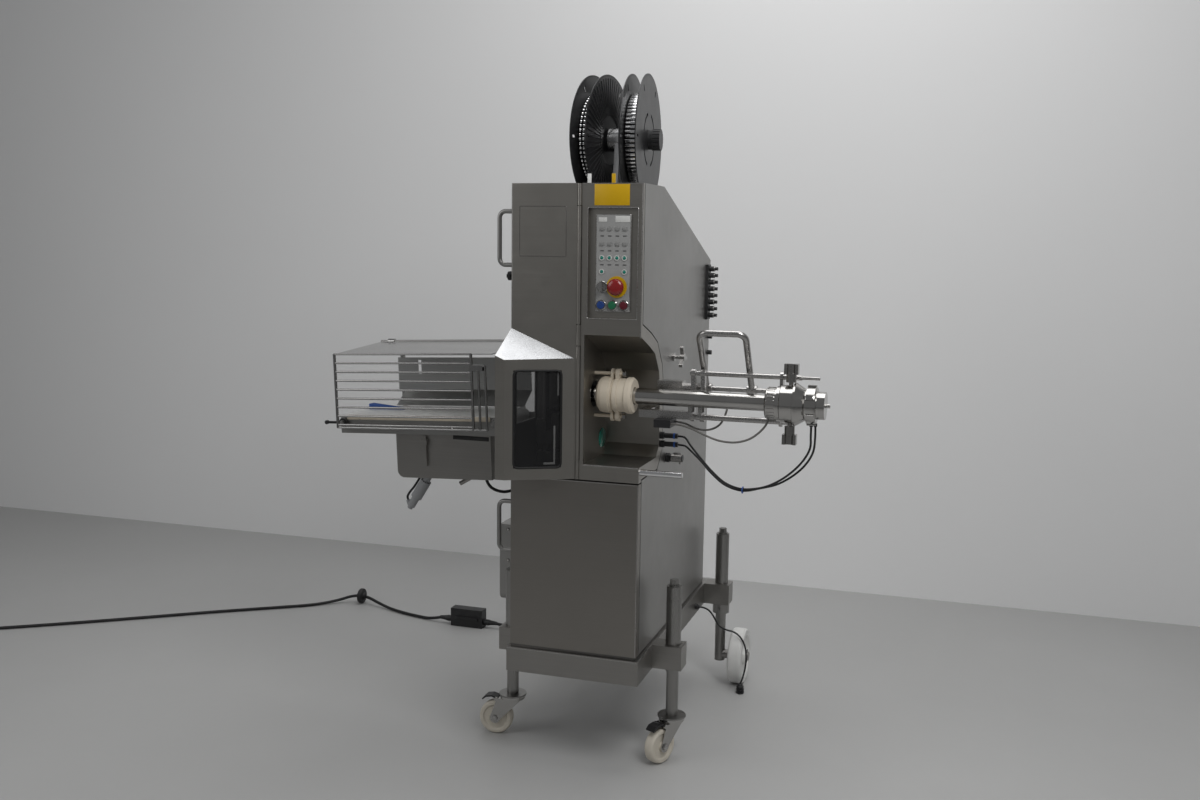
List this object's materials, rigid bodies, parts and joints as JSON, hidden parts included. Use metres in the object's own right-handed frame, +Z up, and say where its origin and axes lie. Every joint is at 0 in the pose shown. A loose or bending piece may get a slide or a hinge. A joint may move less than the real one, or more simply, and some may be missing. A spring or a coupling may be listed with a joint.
{
  "type": "sausage clipper",
  "caption": "Floor-standing automatic sausage clipper on casters: steel cabinet with a window door, filling horn with casing brake, clip spools above and a guarded discharge conveyor.",
  "frame": {"origin": "on the floor at the middle of the machine's footprint, cords left out", "axes": "+X from the conveyor to the filling horn, +Y away from the operator, +Z up"},
  "size_m": [3.439, 1.3259, 2.025],
  "materials": {
    "front_steel": "dark brushed stainless sheet",
    "side_steel": "brushed stainless sheet",
    "frame_steel": "brushed stainless tube",
    "polished_steel": "polished stainless",
    "leg_steel": "turned stainless",
    "dark_steel": "dark machined steel",
    "cream_plastic": "cream plastic",
    "wheel_plastic": "cream polyamide",
    "black_plastic": "black plastic",
    "spool_black": "black spool plastic",
    "control_grey": "pale control plate",
    "red": "red plastic",
    "blue": "blue plastic",
    "green": "green plastic",
    "maroon": "dark red plastic",
    "tinted_glass": "dark tinted pane",
    "belt_white": "white food belt",
    "clip_metal": "bright clip metal",
    "cable_black": "black cable jacket",
    "plug_grey": "grey connector body"
  },
  "bodies": {
    "machine": {"base_frame": "frame_steel", "leg_tubes": "leg_steel", "cabinet_shell": "side_steel", "lower_front_panel": "front_steel", "front_frame": "front_steel", "side_cover": "side_steel", "control_plate": "control_grey", "electrical_box": "side_steel", "side_fittings": "black_plastic", "casing_brake": "cream_plastic", "horn_guide": "polished_steel", "spool_post": "polished_steel", "conveyor_frame": "side_steel", "conveyor_belt": "belt_white", "drive_housing": "side_steel", "product_guides": "side_steel", "closing_drive": "dark_steel", "mains_cord": "cable_black", "mains_coil": "cable_black", "mains_plug": "red", "cord_connector": "plug_grey", "horn_leads": "cable_black", "conveyor_leads": "cable_black", "conveyor_plug": "plug_grey", "floor_lead": "cable_black"},
    "door": {"door": "front_steel", "door_window": "tinted_glass"},
    "door_latch": {"door_latch": "black_plastic"},
    "estop_button": {"estop_button": "red"},
    "selector_knob": {"selector_knob": "black_plastic"},
    "blue_button": {"blue_button": "blue"},
    "green_button": {"green_button": "green"},
    "red_button": {"red_button": "maroon"},
    "horn": {"horn_tube": "polished_steel", "horn_coupling": "polished_steel", "pull_handle": "polished_steel"},
    "top_wing_knob": {"top_wing_knob": "black_plastic"},
    "bottom_wing_knob": {"bottom_wing_knob": "black_plastic"},
    "star_knob": {"star_knob": "polished_steel"},
    "left_spool": {"left_spool": "spool_black", "left_clips": "clip_metal"},
    "right_spool": {"right_spool": "spool_black", "right_clips": "clip_metal"},
    "spool_knob": {"spool_knob": "black_plastic"},
    "wire_guard": {"wire_guard": "polished_steel"},
    "drive_roller": {"drive_roller": "polished_steel"},
    "idler_roller": {"idler_roller": "polished_steel"},
    "tension_lever": {"tension_lever": "black_plastic"},
    "upper_tool": {"upper_tool": "dark_steel"},
    "lower_tool": {"lower_tool": "dark_steel"},
    "inner_leg_left": {"inner_leg_left": "leg_steel"},
    "caster_fork_left": {"caster_fork_left": "polished_steel"},
    "caster_wheel_left": {"caster_wheel_left": "wheel_plastic"},
    "brake_pedal_left": {"brake_pedal_left": "black_plastic"},
    "rear_wheel_left": {"rear_wheel_left": "wheel_plastic"},
    "inner_leg_right": {"inner_leg_right": "leg_steel"},
    "caster_fork_right": {"caster_fork_right": "polished_steel"},
    "caster_wheel_right": {"caster_wheel_right": "wheel_plastic"},
    "brake_pedal_right": {"brake_pedal_right": "black_plastic"},
    "rear_wheel_right": {"rear_wheel_right": "wheel_plastic"}
  },
  "joints": [
    {"name": "door_hinge", "type": "hinge", "parent": "machine", "child": "door", "pos_m": [0.05128, -0.431, 1.27], "axis": [0, 0, 1], "range_deg": [0, 110]},
    {"name": "latch_turn", "type": "hinge", "parent": "machine", "child": "door_latch", "pos_m": [-0.14872, -0.387, 1.423], "axis": [1, 0, 0], "range_deg": [0, 90]},
    {"name": "estop_press", "type": "slide", "parent": "machine", "child": "estop_button", "axis": [0, 1, 0], "range_m": [0, 0.004], "stiffness_N_per_m": 900},
    {"name": "blue_press", "type": "slide", "parent": "machine", "child": "blue_button", "axis": [0, 1, 0], "range_m": [0, 0.003], "stiffness_N_per_m": 500},
    {"name": "green_press", "type": "slide", "parent": "machine", "child": "green_button", "axis": [0, 1, 0], "range_m": [0, 0.003], "stiffness_N_per_m": 500},
    {"name": "red_press", "type": "slide", "parent": "machine", "child": "red_button", "axis": [0, 1, 0], "range_m": [0, 0.003], "stiffness_N_per_m": 500},
    {"name": "selector_turn", "type": "hinge", "parent": "machine", "child": "selector_knob", "pos_m": [0.11688, -0.431, 1.4], "axis": [0, 1, 0], "range_deg": [-45, 45]},
    {"name": "horn_travel", "type": "slide", "parent": "machine", "child": "horn", "axis": [1, 0, 0], "range_m": [0, 0.03]},
    {"name": "top_knob_turn", "type": "hinge", "parent": "horn", "child": "top_wing_knob", "pos_m": [0.62848, -0.331, 1.091], "axis": [0, 0, 1], "range_deg": [-90, 90]},
    {"name": "bottom_knob_turn", "type": "hinge", "parent": "horn", "child": "bottom_wing_knob", "pos_m": [0.62848, -0.331, 1.091], "axis": [0, 0, 1], "range_deg": [-90, 90]},
    {"name": "star_knob_turn", "type": "hinge", "parent": "machine", "child": "star_knob", "pos_m": [0.23128, -0.069, 1.181], "axis": [1, 0, 0], "continuous": true},
    {"name": "left_spool_spin", "type": "hinge", "parent": "machine", "child": "left_spool", "pos_m": [0.03428, -0.001, 1.83], "axis": [0.9976, -0.0698, 0], "continuous": true},
    {"name": "right_spool_spin", "type": "hinge", "parent": "machine", "child": "right_spool", "pos_m": [0.03428, -0.001, 1.83], "axis": [0.9976, 0.0698, 0], "continuous": true},
    {"name": "spool_knob_turn", "type": "hinge", "parent": "machine", "child": "spool_knob", "pos_m": [0.03428, -0.001, 1.83], "axis": [0.9976, 0.0698, 0], "continuous": true},
    {"name": "guard_hinge", "type": "hinge", "parent": "machine", "child": "wire_guard", "pos_m": [-0.45674, -0.181, 1.21026], "axis": [-0.9991, 0, -0.0419], "range_deg": [0, 50]},
    {"name": "drive_roller_spin", "type": "hinge", "parent": "machine", "child": "drive_roller", "pos_m": [-0.19575, -0.331, 1.00101], "axis": [0, 1, 0], "continuous": true},
    {"name": "idler_roller_spin", "type": "hinge", "parent": "machine", "child": "idler_roller", "pos_m": [-0.67333, -0.331, 0.98099], "axis": [0, 1, 0], "continuous": true},
    {"name": "tension_lever_turn", "type": "hinge", "parent": "machine", "child": "tension_lever", "pos_m": [-0.67333, -0.331, 0.98099], "axis": [0, 1, 0], "range_deg": [-40, 40]},
    {"name": "upper_tool_slide", "type": "slide", "parent": "machine", "child": "upper_tool", "axis": [0, 0, -1], "range_m": [0, 0.04]},
    {"name": "lower_tool_slide", "type": "slide", "parent": "machine", "child": "lower_tool", "axis": [0, 0, 1], "range_m": [0, 0.04]},
    {"name": "leg_left_adjust", "type": "slide", "parent": "machine", "child": "inner_leg_left", "axis": [0, 0, 1], "range_m": [-0.05, 0.05]},
    {"name": "caster_left_swivel", "type": "hinge", "parent": "inner_leg_left", "child": "caster_fork_left", "pos_m": [-0.21272, -0.251, 0.12], "axis": [0, 0, 1], "continuous": true},
    {"name": "caster_left_spin", "type": "hinge", "parent": "caster_fork_left", "child": "caster_wheel_left", "pos_m": [-0.26452, -0.25553, 0.0525], "axis": [0.0872, -0.9962, 0], "continuous": true},
    {"name": "pedal_left_press", "type": "hinge", "parent": "caster_fork_left", "child": "brake_pedal_left", "pos_m": [-0.26053, -0.25518, 0.113], "axis": [0.0872, -0.9962, 0], "range_deg": [0, 12]},
    {"name": "leg_right_adjust", "type": "slide", "parent": "machine", "child": "inner_leg_right", "axis": [0, 0, 1], "range_m": [-0.05, 0.05]},
    {"name": "caster_right_swivel", "type": "hinge", "parent": "inner_leg_right", "child": "caster_fork_right", "pos_m": [0.29528, -0.251, 0.12], "axis": [0, 0, 1], "continuous": true},
    {"name": "caster_right_spin", "type": "hinge", "parent": "caster_fork_right", "child": "caster_wheel_right", "pos_m": [0.27168, -0.29733, 0.0525], "axis": [0.891, -0.454, 0], "continuous": true},
    {"name": "pedal_right_press", "type": "hinge", "parent": "caster_fork_right", "child": "brake_pedal_right", "pos_m": [0.27349, -0.29377, 0.113], "axis": [0.891, -0.454, 0], "range_deg": [0, 12]},
    {"name": "rear_wheel_left_spin", "type": "hinge", "parent": "machine", "child": "rear_wheel_left", "pos_m": [-0.28072, 0.426, 0.095], "axis": [1, 0, 0], "continuous": true},
    {"name": "rear_wheel_right_spin", "type": "hinge", "parent": "machine", "child": "rear_wheel_right", "pos_m": [0.36328, 0.426, 0.095], "axis": [1, 0, 0], "continuous": true}
  ],
  "couplings": [
    {"joint": "idler_roller_spin", "follows": "drive_roller_spin", "ratio": 1},
    {"joint": "lower_tool_slide", "follows": "upper_tool_slide", "ratio": 1}
  ]
}
